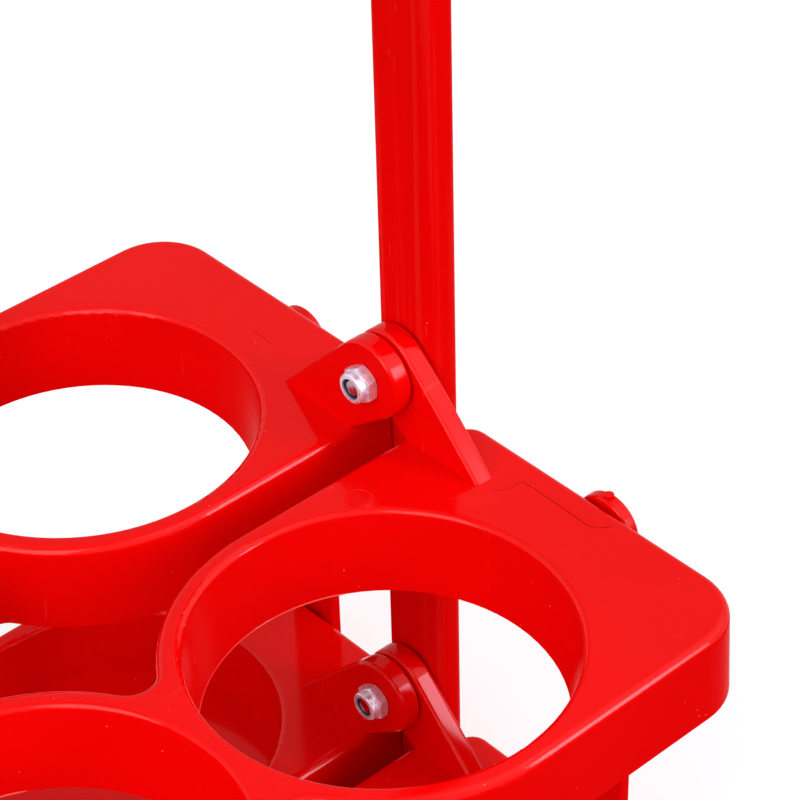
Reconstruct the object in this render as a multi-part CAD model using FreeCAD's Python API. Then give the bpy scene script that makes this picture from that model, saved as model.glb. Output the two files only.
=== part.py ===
import FreeCAD, Part
import math
import os

# Folding six pack carrier, in millimetres. X runs along the carrier, +X is the far end,
# +Y is the left half, and Z = 0 is the floor under the trays.

# Ring pattern, shared by the racks and the trays
ring_bore_radius = 36.0
ring_draft = 1.9
ring_land = 4.0
ring_wall = 4.5
end_land = 19.1
half_gap = 4.4

# Moulded shell
rack_depth = 18.4
wall_draft = 0.8
deck = 2.6
skirt = 2.6
pocket_floor = 2.4
corner_radius = 13.0
web_width = 40.0
edge_round = 2.0
rim_round = 1.4
core_wall = 2.4
core_start = 14.0

# Levels and fold
level_spacing = 84.0
hinge_height = 14.2

# Handle
bar_width = 16.8
bar_thick = 7.2
bar_inset = 1.1
bar_foot_gap = 0.5
bar_edge_round = 2.8
beam_depth = 11.0
beam_top = 262.0
shoulder_radius = 26.0
grip_length = 128.0
grip_width = 21.0
grip_depth = 20.0
grip_round = 7.5
stop_gap = 0.3
notch_corner = 4.2

# Hinge lugs
lug_thick = 4.6
lug_round = 8.4
lug_foot = 25.4
lug_side_gap = 0.5
lug_edge_round = 0.9

# Links
link_width = 14.0
link_long_end = 8.4
link_short_end = 5.2
link_thick = 3.0
link_gap = 0.3
link_drop = 8.4
link_edge_round = 0.8
gate_radius = 1.0
gate_height = 0.7

# Bolts and lock nuts
bolt_radius = 2.0
running_clearance = 0.05
head_radius = 3.9
head_height = 2.4
low_head_radius = 3.3
low_head_height = 1.3
head_round = 0.9
side_play = 0.15
nut_flats = 7.0
nut_hex_height = 2.2
nut_collar_radius = 3.2
nut_collar_height = 1.7
nut_collar_round = 0.5
nut_chamfer = 0.5
nut_turn = 30.0
thread_gap = 0.02
insert_radius = 2.65
insert_thick = 1.1
insert_lip = 0.35
insert_lip_radius = 2.25
bolt_recess = 0.5
bolt_chamfer = 0.45

# How far cutters reach past what they cut, and how near counts as touching
overcut = 1.0
touch = 1e-6

# Derived places
ring_pitch = 2 * ring_bore_radius + ring_land
ring_foot_radius = ring_bore_radius - ring_draft
outline_radius = ring_bore_radius + ring_wall
row_offset = half_gap + outline_radius
outer_edge = row_offset + outline_radius
saddle_rise = (ring_pitch / 2) ** 2 + (web_width / 2) ** 2 - outline_radius ** 2
saddle_radius = saddle_rise / (2 * outline_radius - web_width)
end_x = ring_pitch + ring_bore_radius + end_land
ring_xs = (-ring_pitch, 0.0, ring_pitch)
bar_outer_x = end_x - bar_inset
bar_inner_x = bar_outer_x - bar_thick
notch_x = bar_inner_x - lug_side_gap
notch_y = bar_width / 2 + stop_gap + wall_draft
outer_lug_x = notch_x
inner_lug_x = outer_lug_x - lug_thick - lug_side_gap
hinge_nut_x = inner_lug_x - lug_thick - side_play
link_inner_x = end_x + wall_draft + link_gap
link_outer_x = link_inner_x + link_thick
tray_top = rack_depth
rack_top = tray_top + level_spacing
nut_height = nut_hex_height + nut_collar_height
bore_radius = bolt_radius + running_clearance


def vec(x, y, z):
    return FreeCAD.Vector(x, y, z)


def line(a, b):
    return Part.makeLine(vec(*a, 0), vec(*b, 0))


def arc(a, middle, b):
    return Part.Arc(vec(*a, 0), vec(*middle, 0), vec(*b, 0)).toShape()


def turned(centre, radius, degrees):
    angle = math.radians(degrees)
    return (centre[0] + radius * math.cos(angle), centre[1] + radius * math.sin(angle))


def tangent_point(centre, radius, place, side):
    """Where the line from a place touches a circle, on one side or the other of the centre."""
    span = math.hypot(place[0] - centre[0], place[1] - centre[1])
    toward = math.degrees(math.atan2(place[1] - centre[1], place[0] - centre[0]))
    return turned(centre, radius, toward + side * math.degrees(math.acos(radius / span)))


def prism(edges, height):
    wire = Part.Wire(Part.__sortEdges__(edges))
    return Part.Face(wire).extrude(vec(0, 0, height))


def scalloped_run(side, grow):
    """Edges of the long side from the far end ring to the near end ring, with filleted saddles."""
    reach = outline_radius + saddle_radius
    rise = math.sqrt(reach ** 2 - (ring_pitch / 2) ** 2)
    radius = outline_radius + grow
    crest = row_offset + side * radius
    edges = []
    start = (ring_xs[2], crest)
    for index in (2, 1):
        centre = (ring_xs[index], row_offset)
        following = (ring_xs[index - 1], row_offset)
        saddle = (centre[0] - ring_pitch / 2, row_offset + side * rise)
        share = radius / reach
        leave = (centre[0] + share * (saddle[0] - centre[0]), row_offset + share * (saddle[1] - row_offset))
        join = (following[0] + share * (saddle[0] - following[0]), leave[1])
        steepest = math.degrees(math.atan2(leave[1] - row_offset, leave[0] - centre[0]))
        upright = 90.0 * side
        first = math.degrees(math.atan2(start[1] - row_offset, start[0] - centre[0]))
        middle = upright if first != upright else (first + steepest) / 2
        edges.append(arc(start, turned(centre, radius, middle), leave))
        edges.append(arc(leave, (saddle[0], saddle[1] - side * (saddle_radius - grow)), join))
        start = join
    last = (ring_xs[0], row_offset)
    finish = (ring_xs[0], crest)
    first = math.degrees(math.atan2(start[1] - row_offset, start[0] - last[0]))
    edges.append(arc(start, turned(last, radius, (first + 90.0 * side) / 2), finish))
    return edges


def end_run(side, grow):
    """Edges round one end, from the outer long side to the inner one."""
    corner = (side * (end_x - corner_radius), outer_edge - corner_radius)
    nose = (side * (end_x - notch_corner), notch_y + notch_corner)
    across = 45.0 if side > 0 else 135.0
    below = -45.0 if side > 0 else 225.0
    outer_y = outer_edge + grow
    inner_y = half_gap - grow
    stop_y = notch_y - grow
    edge_x = side * (end_x + grow)
    step_x = side * notch_x
    return [
        line((side * ring_pitch, outer_y), (corner[0], outer_y)),
        arc((corner[0], outer_y), turned(corner, corner_radius + grow, across), (edge_x, corner[1])),
        line((edge_x, corner[1]), (edge_x, nose[1])),
        arc((edge_x, nose[1]), turned(nose, notch_corner + grow, below), (nose[0], stop_y)),
        line((nose[0], stop_y), (step_x, stop_y)),
        line((step_x, stop_y), (step_x, inner_y)),
        line((step_x, inner_y), (side * ring_pitch, inner_y)),
    ]


def outline(grow, height):
    """Closed outline of a rack or tray, grown outwards by its walls' draft."""
    edges = scalloped_run(1, grow) + end_run(1, grow) + scalloped_run(-1, grow) + end_run(-1, grow)
    wire = Part.Wire(Part.__sortEdges__(edges))
    wire.translate(vec(0, 0, height))
    return wire


def top_edges(solid, height):
    """Edges that lie in the deck's plane, apart from the notch, whose corner stays crisp."""
    found = []
    for edge in solid.Edges:
        box = edge.BoundBox
        flat = abs(box.ZMin - height) < touch and abs(box.ZMax - height) < touch
        in_notch = box.YMax < notch_y + touch and abs(box.Center.x) > notch_x - touch
        if flat and not in_notch:
            found.append(edge)
    return found


def end_core(side):
    """Hollow under the deck between the end ring and the end wall."""
    low_x = ring_pitch + core_start
    size_x = end_x - skirt - low_x
    size_y = outer_edge - half_gap - 2 * skirt
    height = rack_depth - deck
    core = Part.makeBox(size_x, size_y, height, vec(low_x, half_gap + skirt, -rack_depth))
    rounded = [e for e in core.Edges if e.BoundBox.ZLength > height / 2
               and e.BoundBox.XMin > low_x + size_x / 2 and e.BoundBox.YMin > row_offset]
    core = core.makeFillet(corner_radius - skirt, rounded)
    ring = Part.makeCylinder(ring_bore_radius + core_wall, height, vec(ring_pitch, row_offset, -rack_depth))
    step = Part.makeBox(end_x, notch_y + skirt, height, vec(notch_x - skirt, 0, -rack_depth))
    core = core.cut(ring).cut(step)
    if side < 0:
        core = core.mirror(vec(0, 0, 0), vec(1, 0, 0))
    return core


def lug(start_x):
    """Upright ear on the deck, tapering from a round end about the hinge axis, from start_x towards +X."""
    centre = (0.0, hinge_height)
    tip = (lug_foot, 0.0)
    heel = (half_gap, 0.0)
    top = tangent_point(centre, lug_round, tip, 1)
    under = tangent_point(centre, lug_round, heel, -1)
    sunk = -deck / 2
    root = (heel[0] + (heel[0] - under[0]) * sunk / (heel[1] - under[1]), sunk)
    edges = [
        line((lug_foot, sunk), tip),
        line(tip, top),
        arc(top, (centre[0] - lug_round, centre[1]), under),
        line(under, root),
        line(root, (lug_foot, sunk)),
    ]
    solid = prism(edges, lug_thick)
    rims = [e for e in solid.Edges if e.BoundBox.ZLength < touch and e.BoundBox.YMax > touch]
    solid = solid.makeFillet(lug_edge_round, rims)
    turn = FreeCAD.Placement(vec(start_x, 0, 0), FreeCAD.Rotation(vec(1, 1, 1), 120))
    solid.Placement = turn
    return solid


def x_cylinder(radius, low_x, high_x, y, z):
    return Part.makeCylinder(radius, high_x - low_x, vec(low_x, y, z), vec(1, 0, 0))


def shell(closed_floor):
    """Left rack or tray with its deck at Z = 0."""
    body = Part.makeLoft([outline(wall_draft, -rack_depth), outline(0.0, 0.0)], True, True)
    body = body.makeFillet(edge_round, top_edges(body, 0.0))
    depth = rack_depth - pocket_floor if closed_floor else rack_depth
    taper = (ring_bore_radius - ring_foot_radius) / rack_depth
    for x in ring_xs:
        foot = ring_bore_radius - taper * depth
        bore = Part.makeCone(foot, ring_bore_radius, depth, vec(x, row_offset, -depth))
        body = body.cut(bore)
    rims = [e for e in top_edges(body, 0.0) if isinstance(e.Curve, Part.Circle)
            and abs(e.Curve.Radius - ring_bore_radius) < touch]
    body = body.makeFillet(rim_round, rims)
    for side in (1, -1):
        body = body.cut(end_core(side))
    far_lug = lug(inner_lug_x - lug_thick)
    near_lug = lug(-outer_lug_x)
    body = body.fuse([far_lug, near_lug]).removeSplitter()
    body = body.cut(x_cylinder(bore_radius, -end_x, end_x, 0, hinge_height))
    body = body.cut(x_cylinder(bore_radius, end_x - 2 * skirt, end_x + skirt, row_offset, -link_drop))
    body = body.cut(x_cylinder(bore_radius, -end_x - skirt, -end_x + 2 * skirt, row_offset, -link_drop))
    return body.Solids[0]


def half_turn(shape):
    copy = shape.copy()
    copy.rotate(vec(0, 0, 0), vec(0, 0, 1), 180)
    return copy


def raised(shape, height):
    copy = shape.copy()
    copy.translate(vec(0, 0, height))
    return copy


def handle():
    """Two flat end bars, the beam over them with round shoulders, and a thicker grip in its middle."""
    height = beam_top - bar_foot_gap
    outer = Part.makeBox(2 * bar_outer_x, bar_width, height, vec(-bar_outer_x, -bar_width / 2, bar_foot_gap))
    shoulders = [e for e in outer.Edges
                 if e.BoundBox.YLength > bar_width / 2 and e.BoundBox.ZMin > height / 2]
    outer = outer.makeFillet(shoulder_radius, shoulders)
    under_beam = beam_top - beam_depth
    inner = Part.makeBox(2 * bar_inner_x, 2 * bar_width, under_beam, vec(-bar_inner_x, -bar_width, 0))
    corners = [e for e in inner.Edges
               if e.BoundBox.YLength > bar_width and e.BoundBox.ZMin > under_beam / 2]
    inner = inner.makeFillet(shoulder_radius - bar_thick, corners)
    body = outer.cut(inner)
    body = body.makeFillet(bar_edge_round, [e for e in body.Edges if e.BoundBox.YLength < touch])
    low_grip = beam_top - beam_depth / 2 - grip_depth / 2
    grip = Part.makeBox(grip_length, grip_width, grip_depth, vec(-grip_length / 2, -grip_width / 2, low_grip))
    grip = grip.makeFillet(grip_round, grip.Edges)
    body = body.fuse(grip)
    for side in (1, -1):
        for top in (tray_top, rack_top):
            low_x = min(side * bar_inner_x, side * bar_outer_x)
            high_x = low_x + bar_thick
            body = body.cut(x_cylinder(bore_radius, low_x - overcut, high_x + overcut, 0, top + hinge_height))
    return body.Solids[0]


def bolt(seat_x, tip_x, y, z, radius, height):
    """Round headed bolt whose head rests at seat_x and whose shank runs towards -X to tip_x."""
    head = x_cylinder(radius, seat_x, seat_x + height, y, z)
    crown = [e for e in head.Edges
             if e.BoundBox.XMin > seat_x + height / 2 and e.BoundBox.YLength > radius]
    head = head.makeFillet(head_round, crown)
    shank = x_cylinder(bolt_radius, tip_x, seat_x, y, z)
    tip = [e for e in shank.Edges
           if e.BoundBox.XMax < tip_x + touch and e.BoundBox.YLength > bolt_radius]
    shank = shank.makeChamfer(bolt_chamfer, tip)
    return head.fuse(shank).removeSplitter()


def lock_nut(seat_x, y, z):
    """Hexagon nut with a round collar, seated at seat_x and reaching towards -X."""
    corner = nut_flats / math.sqrt(3)
    around = [turned((y, z), corner, nut_turn + 60 * k) for k in range(7)]
    points = [vec(seat_x, *place) for place in around]
    hexagon = Part.Face(Part.makePolygon(points)).extrude(vec(-nut_hex_height, 0, 0))
    rise = nut_chamfer * math.tan(math.radians(30))
    hex_end = seat_x - nut_hex_height
    round_off = x_cylinder(corner, hex_end + rise, seat_x - rise, y, z)
    for x, way in ((hex_end + rise, -1), (seat_x - rise, 1)):
        cone = Part.makeCone(corner, corner - nut_chamfer, rise, vec(x, y, z), vec(way, 0, 0))
        round_off = round_off.fuse(cone)
    body = hexagon.common(round_off)
    end = hex_end - nut_collar_height
    collar = x_cylinder(nut_collar_radius, end, hex_end, y, z)
    rim = [e for e in collar.Edges
           if e.BoundBox.XMax < end + touch and e.BoundBox.YLength > nut_collar_radius]
    collar = collar.makeFillet(nut_collar_round, rim)
    body = body.fuse(collar).removeSplitter()
    body = body.cut(x_cylinder(bolt_radius + thread_gap, end - overcut, seat_x + overcut, y, z))
    inner = end + insert_lip
    body = body.cut(x_cylinder(insert_radius, inner, inner + insert_thick, y, z))
    body = body.cut(x_cylinder(insert_lip_radius, end - overcut, inner, y, z))
    return body


def nylon_ring(seat_x, y, z):
    """Locking ring inside the collar of a nut seated at seat_x."""
    low_x = seat_x - nut_height + insert_lip
    high_x = low_x + insert_thick
    ring = x_cylinder(insert_radius - thread_gap, low_x, high_x, y, z)
    return ring.cut(x_cylinder(bolt_radius + thread_gap, low_x - overcut, high_x + overcut, y, z))


def side_link():
    """Left link at the far end, its longer end up, with the stub of its moulding gate on that end."""
    radius = link_width / 2
    upper = rack_top - link_drop
    lower = tray_top - link_drop
    left = row_offset + radius
    right = row_offset - radius
    high = upper + link_long_end
    low = lower - link_short_end
    edges = [
        arc((left, high - radius), (row_offset, high), (right, high - radius)),
        line((right, high - radius), (right, low + radius)),
        arc((right, low + radius), (row_offset, low), (left, low + radius)),
        line((left, low + radius), (left, high - radius)),
    ]
    solid = prism(edges, link_thick)
    rims = [e for e in solid.Edges if e.BoundBox.ZLength < touch]
    solid = solid.makeFillet(link_edge_round, rims)
    solid.Placement = FreeCAD.Placement(vec(link_inner_x, 0, 0), FreeCAD.Rotation(vec(1, 1, 1), 120))
    gate_foot = vec((link_inner_x + link_outer_x) / 2, row_offset, high - gate_height)
    solid = solid.fuse(Part.makeCylinder(gate_radius, 2 * gate_height, gate_foot))
    for z in (upper, lower):
        bore = x_cylinder(bore_radius, link_inner_x - overcut, link_outer_x + overcut, row_offset, z)
        solid = solid.cut(bore)
    return solid.Solids[0]


def end_for_end(link):
    """The same link turned the other way up on the same two pivots."""
    copy = link.copy()
    middle = (rack_top + tray_top) / 2 - link_drop
    copy.rotate(vec(0, row_offset, middle), vec(1, 0, 0), 180)
    return copy


def far_and_near(shape):
    """The same piece at the far end and, mirrored end for end, at the near end of the same half."""
    return shape, shape.mirror(vec(0, 0, 0), vec(1, 0, 0))


def save(name, shapes):
    shape = shapes[0] if len(shapes) == 1 else Part.Compound(list(shapes))
    shape.exportStep("parts/" + name + ".step")


os.makedirs("parts", exist_ok=True)

save("handle", [handle()])

rack = raised(shell(False), rack_top)
tray = raised(shell(True), tray_top)
save("upper_rack_left", [rack])
save("upper_rack_right", [half_turn(rack)])
save("lower_tray_left", [tray])
save("lower_tray_right", [half_turn(tray)])

link = side_link()
far_link = end_for_end(link)
near_link = far_and_near(link)[1]
save("side_link_left_far", [far_link])
save("side_link_left_near", [near_link])
save("side_link_right_far", [half_turn(near_link)])
save("side_link_right_near", [half_turn(far_link)])

hinge_tip_x = hinge_nut_x - nut_height + bolt_recess
for level, top in (("upper", rack_top), ("lower", tray_top)):
    axis_z = top + hinge_height
    far_bolt = bolt(bar_outer_x, hinge_tip_x, 0, axis_z, head_radius, head_height)
    far_nut = lock_nut(hinge_nut_x, 0, axis_z)
    far_ring = nylon_ring(hinge_nut_x, 0, axis_z)
    for name, piece in (("hinge_bolt", far_bolt), ("hinge_nut", far_nut), ("nut_ring", far_ring)):
        save(name + "_" + level + "_far", [piece])
        save(name + "_" + level + "_near", [half_turn(piece)])

link_seat_x = link_outer_x + side_play
link_nut_x = end_x - skirt
link_tip_x = link_nut_x - nut_height + bolt_recess
for name, top in (("upper", rack_top), ("lower", tray_top)):
    axis_z = top - link_drop
    low_bolt = bolt(link_seat_x, link_tip_x, row_offset, axis_z, low_head_radius, low_head_height)
    bolts = far_and_near(low_bolt)
    nuts = far_and_near(lock_nut(link_nut_x, row_offset, axis_z))
    save("link_bolts_" + name + "_left", bolts)
    save("link_bolts_" + name + "_right", [half_turn(b) for b in bolts])
    save("link_nuts_" + name + "_left", nuts)
    save("link_nuts_" + name + "_right", [half_turn(n) for n in nuts])
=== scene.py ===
import math

import bmesh
import bpy
from mathutils import Matrix, Vector


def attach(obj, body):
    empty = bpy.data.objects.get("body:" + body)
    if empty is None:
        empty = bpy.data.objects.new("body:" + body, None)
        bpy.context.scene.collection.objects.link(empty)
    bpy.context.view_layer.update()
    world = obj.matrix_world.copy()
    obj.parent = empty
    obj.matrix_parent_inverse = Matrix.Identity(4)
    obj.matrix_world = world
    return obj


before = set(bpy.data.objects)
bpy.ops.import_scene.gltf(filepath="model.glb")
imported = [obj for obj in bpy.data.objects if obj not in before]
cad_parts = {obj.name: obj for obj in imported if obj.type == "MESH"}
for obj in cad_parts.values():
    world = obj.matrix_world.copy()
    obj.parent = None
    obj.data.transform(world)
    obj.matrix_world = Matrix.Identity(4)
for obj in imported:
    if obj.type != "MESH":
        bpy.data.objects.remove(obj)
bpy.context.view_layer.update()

# Camera of the photograph, in the part's frame
CAMERA_PLACE = (-0.164355, -0.324903, 0.442996)
CAMERA_RIGHT = (0.739418, -0.672880, -0.022195)
CAMERA_UP = (0.425733, 0.441784, 0.789670)
CAMERA_LENS = 126.16
CAMERA_SENSOR = 36.0
CAMERA_NEAREST, CAMERA_FARTHEST = 0.01, 50.0

# Colours, scene linear
RED = (0.80, 0.0010, 0.0008, 1.0)
RED_DEEP = (0.74, 0.0006, 0.0006, 1.0)
RED_PALE = (0.90, 0.14, 0.11, 1.0)
# Darker reds for the witness lines: painted shade along the lines
RED_SHADE_PAINTED = (0.58, 0.0010, 0.0010, 1.0)
RED_DEEP_SHADE_PAINTED = (0.44, 0.0008, 0.0008, 1.0)
ZINC = (0.79, 0.77, 0.90, 1.0)
ZINC_WARM = (0.66, 0.60, 0.70, 1.0)
BOLT = (0.46, 0.34, 0.41, 1.0)
BOLT_WARM = (0.42, 0.29, 0.33, 1.0)
NYLON = (0.012, 0.018, 0.050, 1.0)
NYLON_PALE = (0.030, 0.040, 0.085, 1.0)
FLOOR = (0.48, 0.48, 0.48, 1.0)
FLOOR_DIM = (0.46, 0.46, 0.46, 1.0)
WHITE = (1.0, 1.0, 1.0, 1.0)

# Gloss of the plastic
PLASTIC_IOR = 1.46
PLASTIC_SPECULAR = 0.004
COAT_ROUGHNESS = 0.12

# Grain of the surfaces, in marks per metre, and for stretched marks along each axis
DRIFT_GRAIN = 14.0
FLOW_GRAIN, FLOW_STRETCH = 240.0, (1.0, 1.0, 0.35)
HAIRLINE_GRAIN = (60.0, 900.0, 140.0)
PATCH_GRAIN = 45.0
SPECK_GRAIN, SPECK_RARITY_GRAIN = 420.0, 160.0
STREAK_GRAIN = (420.0, 420.0, 9.0)
PLATING_GRAIN = 700.0
TURNING_GRAIN = (5200.0, 700.0, 700.0)
NYLON_GRAIN = 1500.0
FLOOR_GRAIN = 3.0

# Shares of the marks in colour, roughness and relief
SPECK_PALENESS, SCRATCH_PALENESS = 0.75, 0.10
FLOW_ROUGHNESS = 0.03
FLOW_RELIEF, SCRATCH_RELIEF = 0.25, 0.5

# Light and floor
WORLD_LIGHT, WORLD_SEEN = 0.54, 1.0
FLOOR_GLOW = 0.60
FLOOR_REACH, FLOOR_Z = 4.0, -0.0002
LAMP_TARGET = (0.11, 0.0, 0.10)


class Nodes:
    """A node tree with short ways to add and join nodes."""

    def __init__(self, tree):
        self.tree = tree
        self.tree.nodes.clear()

    def add(self, kind, **values):
        """New node, with its settings and the values of its inputs given by name."""
        node = self.tree.nodes.new(kind)
        for key, value in values.items():
            if hasattr(node, key):
                setattr(node, key, value)
            else:
                node.inputs[key.replace("_", " ")].default_value = value
        return node

    def join(self, source, target):
        self.tree.links.new(source, target)

    def place(self):
        return self.add("ShaderNodeTexCoord").outputs["Object"]

    def levelness(self):
        """1 on faces that lie level on the piece, such as decks, and 0 on its walls."""
        facing = self.add("ShaderNodeSeparateXYZ")
        self.join(self.add("ShaderNodeTexCoord").outputs["Normal"], facing.inputs[0])
        return self.combined("MULTIPLY", facing.outputs["Z"], facing.outputs["Z"])

    def stretched(self, place, scale):
        node = self.add("ShaderNodeMapping", Scale=scale)
        self.join(place, node.inputs["Vector"])
        return node.outputs["Vector"]

    def noise(self, place, scale=1.0, detail=3.0, roughness=0.5):
        node = self.add("ShaderNodeTexNoise", Scale=scale, Detail=detail, Roughness=roughness)
        self.join(place, node.inputs["Vector"])
        return node.outputs["Fac"]

    def cells(self, place, scale):
        node = self.add("ShaderNodeTexVoronoi", Scale=scale)
        self.join(place, node.inputs["Vector"])
        return node.outputs["Distance"]

    def band(self, value, span, low=0.0, high=1.0):
        """Low below a span of values, high above it, and a ramp between them."""
        node = self.add("ShaderNodeMapRange")
        self.join(value, node.inputs["Value"])
        limits = {"From Min": span[0], "From Max": span[1], "To Min": low, "To Max": high}
        for key, number in limits.items():
            node.inputs[key].default_value = number
        return node.outputs["Result"]

    def share(self, value, amount):
        """A value from 0 to 1, times an amount."""
        return self.band(value, (0.0, 1.0), high=amount)

    def mixed(self, factor, first, second):
        """Mix of two colours, of which the first may come from another node."""
        node = self.add("ShaderNodeMix", data_type="RGBA")
        self.join(factor, node.inputs["Factor"])
        colours = [s for s in node.inputs if s.type == "RGBA"]
        if isinstance(first, bpy.types.NodeSocket):
            self.join(first, colours[0])
        else:
            colours[0].default_value = first
        colours[1].default_value = second
        return [s for s in node.outputs if s.type == "RGBA"][0]

    def combined(self, operation, first, second):
        node = self.add("ShaderNodeMath", operation=operation)
        self.join(first, node.inputs[0])
        self.join(second, node.inputs[1])
        return node.outputs[0]

    def bump(self, height, strength, distance):
        node = self.add("ShaderNodeBump", Strength=strength, Distance=distance)
        self.join(height, node.inputs["Height"])
        return node.outputs["Normal"]

    def background_ray(self, other, seen):
        """Strength for rays that show the background, and another for those that light the part."""
        path = self.add("ShaderNodeLightPath").outputs
        rays = self.combined("MAXIMUM", path["Is Camera Ray"], path["Is Glossy Ray"])
        rays = self.combined("MAXIMUM", rays, path["Is Transmission Ray"])
        return self.band(rays, (0.0, 1.0), other, seen)


def new_material(name):
    material = bpy.data.materials.new(name)
    material.use_nodes = True
    return material, Nodes(material.node_tree)


def finished(n, shader):
    output = n.add("ShaderNodeOutputMaterial")
    n.join(shader, output.inputs["Surface"])


def red_plastic(name, deck_rough, wall_rough, deck_gloss, edge_gloss, wear=0.12, streak=0.0,
                tones=(RED, RED_DEEP)):
    """Moulded plastic: glossy decks, duller walls, burnished round edges, marks of use, and streaks
    along the height that are rougher and, in colour, painted paler as sheen.
    """
    material, n = new_material(name)
    place = n.place()
    drift = n.noise(place, DRIFT_GRAIN, detail=2.0)
    colour = n.mixed(n.band(drift, (0.35, 0.65)), *tones)

    # Flow marks of the moulding, scratches in patches, rare specks, and streaks along the height
    flow = n.noise(n.stretched(place, FLOW_STRETCH), FLOW_GRAIN)
    hairlines = n.band(n.noise(n.stretched(place, HAIRLINE_GRAIN), detail=2.0, roughness=0.4),
                       (0.68, 0.74))
    patches = n.band(n.noise(place, PATCH_GRAIN, detail=2.0), (0.50, 0.62))
    scratches = n.combined("MULTIPLY", hairlines, patches)
    specks = n.band(n.cells(place, SPECK_GRAIN), (0.045, 0.09), 1.0, 0.0)
    rare = n.band(n.noise(place, SPECK_RARITY_GRAIN, detail=1.0), (0.57, 0.63))
    specks = n.combined("MULTIPLY", specks, rare)
    streaks = n.noise(n.stretched(place, STREAK_GRAIN), roughness=0.55)

    dust_and_sheen = n.combined("ADD", n.share(specks, SPECK_PALENESS), n.share(scratches, SCRATCH_PALENESS))
    # Streaks: paler colour here is painted sheen; their roughness below is real
    dust_and_sheen = n.combined("ADD", dust_and_sheen, n.band(streaks, (0.52, 0.72), high=streak))
    shader = n.add("ShaderNodeBsdfPrincipled", IOR=PLASTIC_IOR,
                   Specular_IOR_Level=PLASTIC_SPECULAR, Coat_Roughness=COAT_ROUGHNESS)
    n.join(n.mixed(dust_and_sheen, colour, RED_PALE), shader.inputs["Base Color"])

    level = n.levelness()
    off_walls = n.band(level, (0.12, 0.30))
    gloss = n.band(level, (0.50, 0.96), edge_gloss, deck_gloss)
    n.join(n.combined("MULTIPLY", off_walls, gloss), shader.inputs["Coat Weight"])

    rough = n.band(level, (0.05, 0.40), wall_rough, deck_rough)
    rough = n.combined("ADD", rough, n.band(flow, (0.3, 0.7), high=FLOW_ROUGHNESS))
    rough = n.combined("ADD", rough, n.band(streaks, (0.35, 0.65), high=streak))
    rough = n.combined("ADD", rough, n.share(scratches, wear))
    n.join(rough, shader.inputs["Roughness"])

    relief = n.combined("ADD", n.share(flow, FLOW_RELIEF), specks)
    relief = n.combined("SUBTRACT", relief, n.share(scratches, SCRATCH_RELIEF))
    n.join(n.bump(relief, strength=0.08, distance=0.00006), shader.inputs["Normal"])
    finished(n, shader.outputs["BSDF"])
    return material


def zinc_steel(name, tones, smooth, dull, metallic):
    """Zinc plate with a faint warm passivation and fine turning marks round the bolt's axis."""
    material, n = new_material(name)
    place = n.place()
    plating = n.band(n.noise(place, PLATING_GRAIN), (0.4, 0.65))
    turning = n.noise(n.stretched(place, TURNING_GRAIN), roughness=0.6)
    shader = n.add("ShaderNodeBsdfPrincipled", Metallic=metallic)
    n.join(n.mixed(plating, *tones), shader.inputs["Base Color"])
    n.join(n.band(turning, (0.3, 0.7), smooth, dull), shader.inputs["Roughness"])
    n.join(n.bump(turning, strength=0.12, distance=0.00003), shader.inputs["Normal"])
    finished(n, shader.outputs["BSDF"])
    return material


def nylon(name):
    """Dark nylon with a fine grain."""
    material, n = new_material(name)
    grain = n.noise(n.place(), NYLON_GRAIN)
    shader = n.add("ShaderNodeBsdfPrincipled")
    n.join(n.mixed(grain, NYLON, NYLON_PALE), shader.inputs["Base Color"])
    n.join(n.band(grain, (0.3, 0.7), 0.35, 0.5), shader.inputs["Roughness"])
    n.join(n.bump(grain, strength=0.1, distance=0.00005), shader.inputs["Normal"])
    finished(n, shader.outputs["BSDF"])
    return material


def floor_material(name):
    """Pale floor that is white to the camera and to reflections, and still takes the shadow."""
    material, n = new_material(name)
    diffuse = n.add("ShaderNodeBsdfDiffuse")
    tone = n.mixed(n.noise(n.place(), FLOOR_GRAIN), FLOOR, FLOOR_DIM)
    n.join(tone, diffuse.inputs["Color"])
    glow = n.add("ShaderNodeEmission", Color=WHITE)
    n.join(n.background_ray(0.0, FLOOR_GLOW), glow.inputs["Strength"])
    both = n.add("ShaderNodeAddShader")
    n.join(diffuse.outputs["BSDF"], both.inputs[0])
    n.join(glow.outputs["Emission"], both.inputs[1])
    finished(n, both.outputs["Shader"])
    return material


RED_MOULDED = red_plastic("red_moulded", deck_rough=0.07, wall_rough=0.24,
                          deck_gloss=0.21, edge_gloss=0.42)
RED_HANDLE = red_plastic("red_handle", deck_rough=0.15, wall_rough=0.26,
                         deck_gloss=0.26, edge_gloss=0.38, wear=0.25, streak=0.07)
# Witness-line beads: darker red with little gloss, painted shade along each line
RED_SHADE_LINE = red_plastic("red_line_painted_shade", deck_rough=0.30, wall_rough=0.30,
                       deck_gloss=0.05, edge_gloss=0.25, tones=(RED_SHADE_PAINTED, RED_DEEP_SHADE_PAINTED))
# Flash beads: pale red mixed in is painted highlight; the extra edge gloss is real
RED_FLASH_PAINTED_HIGHLIGHT = red_plastic("red_flash_painted_highlight", deck_rough=0.20, wall_rough=0.20,
                        deck_gloss=0.20, edge_gloss=0.60, tones=(RED_PALE, RED))
NUT_STEEL = zinc_steel("zinc_plate", (ZINC, ZINC_WARM), smooth=0.22, dull=0.40, metallic=0.65)
BOLT_STEEL = zinc_steel("zinc_bolt", (BOLT, BOLT_WARM), smooth=0.08, dull=0.16, metallic=1.0)
RING = nylon("nylon_ring")


def material_for(node):
    if node.startswith("nut_ring"):
        return RING
    if "nut" in node:
        return NUT_STEEL
    if "bolt" in node:
        return BOLT_STEEL
    if node == "handle":
        return RED_HANDLE
    return RED_MOULDED


for name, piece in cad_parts.items():
    piece.data.materials.clear()
    piece.data.materials.append(material_for(name))

# Beads: points between those given, sides, and how their size grows from the tips
BEAD_STEPS, BEAD_SIDES = 6, 8
BEAD_TIP, BEAD_GROWTH = 0.35, 0.2


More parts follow.
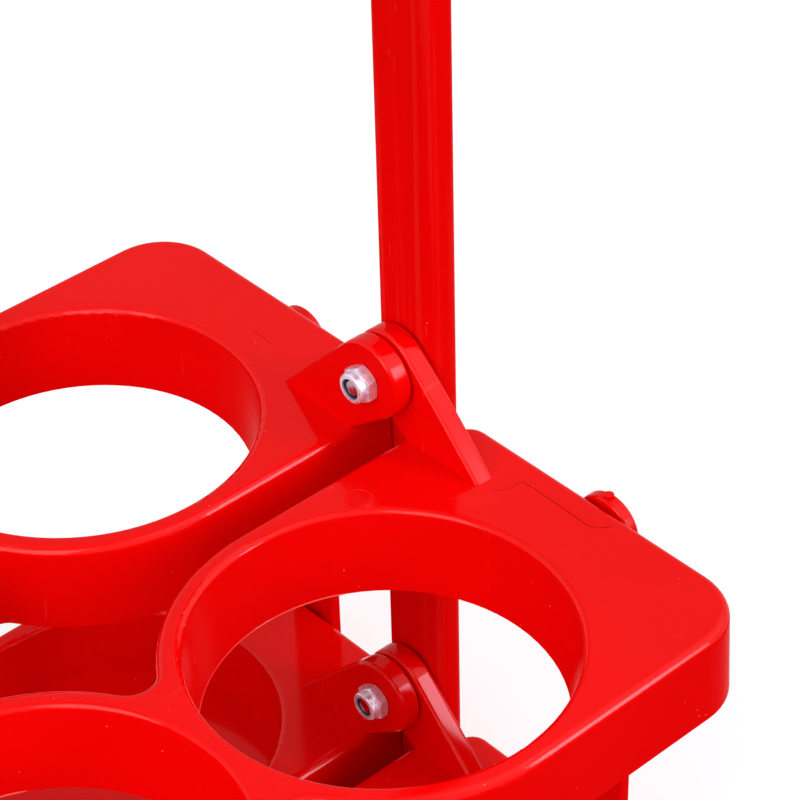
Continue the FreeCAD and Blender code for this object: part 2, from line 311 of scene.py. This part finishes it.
def smoothed(points, steps):
    """Points along a smooth line through the given ones."""
    ends = [2 * points[0] - points[1]] + points + [2 * points[-1] - points[-2]]
    line = []
    for k in range(1, len(ends) - 2):
        a, b, c, d = ends[k - 1:k + 3]
        for step in range(steps):
            t = step / steps
            line.append(0.5 * (2 * b + (c - a) * t + (2 * a - 5 * b + 4 * c - d) * t ** 2
                               + (3 * b - a - 3 * c + d) * t ** 3))
    return line + [points[-1]]


def bead_mesh(name, line, width, height):
    """Rounded line along level points, given its half width and half height, tapered to its ends."""
    angles = [math.tau * k / BEAD_SIDES for k in range(BEAD_SIDES)]
    last = len(line) - 1
    mesh = bpy.data.meshes.new(name)
    form = bmesh.new()
    rows = []
    for index, point in enumerate(line):
        ahead = line[min(index + 1, last)] - line[max(index - 1, 0)]
        across = Vector((-ahead.y, ahead.x, 0.0)).normalized()
        fade = min(1.0, BEAD_TIP + BEAD_GROWTH * min(index, last - index))
        row = []
        for angle in angles:
            lift = Vector((0.0, 0.0, math.sin(angle) * height * fade))
            row.append(form.verts.new(point + across * (math.cos(angle) * width * fade) + lift))
        rows.append(row)
    for first, second in zip(rows, rows[1:]):
        for k in range(BEAD_SIDES):
            after = (k + 1) % BEAD_SIDES
            form.faces.new((first[k], second[k], second[after], first[after]))
    form.faces.new(rows[0])
    form.faces.new(list(reversed(rows[-1])))
    bmesh.ops.recalc_face_normals(form, faces=form.faces)
    form.to_mesh(mesh)
    form.free()
    for face in mesh.polygons:
        face.use_smooth = len(face.vertices) == 4
    return mesh


def bead(name, points, size, body, material):
    """Thin line of plastic through the points, on a body of the part."""
    mesh = bead_mesh(name, smoothed(points, BEAD_STEPS), *size)
    mesh.materials.append(material)
    piece = bpy.data.objects.new(name, mesh)
    bpy.context.scene.collection.objects.link(piece)
    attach(piece, body)


def arc(centre, radius, span):
    """Points in millimetres on a circle, at each of a range of degrees."""
    angles = [math.radians(degrees) for degrees in range(*span)]
    return [(centre[0] + radius * math.cos(a), centre[1] + radius * math.sin(a)) for a in angles]


def on_level(points, turn, height):
    """Points in millimetres on one half, or on the other when turn is -1, at a height in metres."""
    return [Vector((turn * x / 1000, turn * y / 1000, height)) for x, y in points]


# Places on the racks are in millimetres. Heights are in metres, and so are the sizes of beads,
# which are half widths and half heights.
HALVES = (("right", 1), ("left", -1))
DECK_Z = 0.1024
WITNESS_Z = DECK_Z - 0.00002

# Edges of mould inserts on the decks beside the link pivots, drawn in a darker red that is painted
# shade along each line
LONG_WITNESS = [(118.6, -27.0), (120.4, -29.4), (122.5, -30.1), (124.2, -30.2), (125.1, -31.0),
                (125.2, -36.0), (125.0, -44.6), (124.9, -47.4), (125.5, -49.3), (126.7, -50.5),
                (128.1, -51.3)]
LONG_WITNESS_SIZE = (0.00015, 0.00010)
SHORT_WITNESS = [(119.0, 43.4), (119.2, 39.8), (118.8, 35.9)]
SHORT_WITNESS_SIZE = (0.00012, 0.00007)
for ends, turn in ((("right_far", "left_far"), 1), (("left_near", "right_near"), -1)):
    for end, points, size in ((ends[0], LONG_WITNESS, LONG_WITNESS_SIZE),
                              (ends[1], SHORT_WITNESS, SHORT_WITNESS_SIZE)):
        half = "upper_" + end.split("_")[0]
        bead("witness_" + end, on_level(points, turn, WITNESS_Z), size, half, RED_SHADE_LINE)

# Round mark of an ejector pin beside one end bore of each rack, broken by the bore's rim
PIN_CENTRE, PIN_RADIUS, PIN_SPAN = (99.2, -12.4), 2.7, (275, 556, 14)
PIN_SIZE = (0.00020, 0.00011)
for half, turn in HALVES:
    ring = on_level(arc(PIN_CENTRE, PIN_RADIUS, PIN_SPAN), turn, WITNESS_Z)
    bead("pin_mark_" + half, ring, PIN_SIZE, "upper_" + half, RED_MOULDED)

# Flash along part of each rack bore's lower edge, glossy and partly pale red as a painted highlight
RING_PITCH, ROW_OFFSET, FOOT_RADIUS = 76.0, 44.9, 34.1
FLASH_Z, FLASH_SPAN = 0.08408, (60, 150, 6)
FLASH_SIZE = (0.00016, 0.00018)
for half, turn in HALVES:
    for place, middle in (("near", -RING_PITCH), ("centre", 0.0), ("far", RING_PITCH)):
        foot = on_level(arc((middle, -ROW_OFFSET), FOOT_RADIUS, FLASH_SPAN), turn, FLASH_Z)
        bead("flash_%s_%s" % (half, place), foot, FLASH_SIZE, "upper_" + half, RED_FLASH_PAINTED_HIGHLIGHT)


def add_floor():
    mesh = bpy.data.meshes.new("floor")
    corners = [(x * FLOOR_REACH, y * FLOOR_REACH, FLOOR_Z)
               for x, y in ((-1, -1), (1, -1), (1, 1), (-1, 1))]
    mesh.from_pydata(corners, [], [(0, 1, 2, 3)])
    mesh.materials.append(floor_material("floor_white"))
    floor = bpy.data.objects.new("floor", mesh)
    bpy.context.scene.collection.objects.link(floor)


def add_lamp(name, way, distance, size, power, colour=(1.0, 1.0, 1.0), tall=(0.0, 0.0, 1.0)):
    """Area lamp that faces the hinge from a direction, its second size along the tall way."""
    away = Vector(way).normalized()
    height = (Vector(tall) - away * away.dot(Vector(tall))).normalized()
    data = bpy.data.lights.new(name, "AREA")
    data.shape = "RECTANGLE"
    data.size, data.size_y = size
    data.energy = power
    data.color = colour
    lamp = bpy.data.objects.new(name, data)
    turn = Matrix((height.cross(away), height, away)).transposed().to_4x4()
    lamp.matrix_world = Matrix.Translation(Vector(LAMP_TARGET) + away * distance) @ turn
    bpy.context.scene.collection.objects.link(lamp)


def add_world():
    world = bpy.data.worlds.new("studio")
    bpy.context.scene.world = world
    world.use_nodes = True
    n = Nodes(world.node_tree)
    sky = n.add("ShaderNodeBackground", Color=WHITE)
    n.join(n.background_ray(WORLD_LIGHT, WORLD_SEEN), sky.inputs["Strength"])
    output = n.add("ShaderNodeOutputWorld")
    n.join(sky.outputs["Background"], output.inputs["Surface"])


def add_camera():
    data = bpy.data.cameras.new("photo_camera")
    data.sensor_fit = "HORIZONTAL"
    data.sensor_width = CAMERA_SENSOR
    data.lens = CAMERA_LENS
    data.clip_start, data.clip_end = CAMERA_NEAREST, CAMERA_FARTHEST
    camera = bpy.data.objects.new("photo_camera", data)
    right, up = Vector(CAMERA_RIGHT), Vector(CAMERA_UP)
    turn = Matrix((right, up, right.cross(up))).transposed().to_4x4()
    camera.matrix_world = Matrix.Translation(CAMERA_PLACE) @ turn
    bpy.context.scene.collection.objects.link(camera)
    bpy.context.scene.camera = camera


add_floor()
add_world()
add_lamp("window", way=(0.457, -0.818, 0.349), distance=1.4, size=(0.265, 0.70), power=6.7,
         colour=(0.96, 0.86, 1.0), tall=(0.0, 0.39, 0.92))
add_lamp("window_top", way=(0.52, -0.30, 0.80), distance=1.4, size=(1.70, 1.20), power=6.4,
         colour=(0.97, 0.90, 1.0), tall=(0.0, 0.7, 0.7))
add_lamp("fill", way=(-0.80, -0.22, 0.56), distance=0.95, size=(0.8, 0.8), power=6.5)
add_camera()
bpy.context.scene.view_settings.view_transform = "Standard"
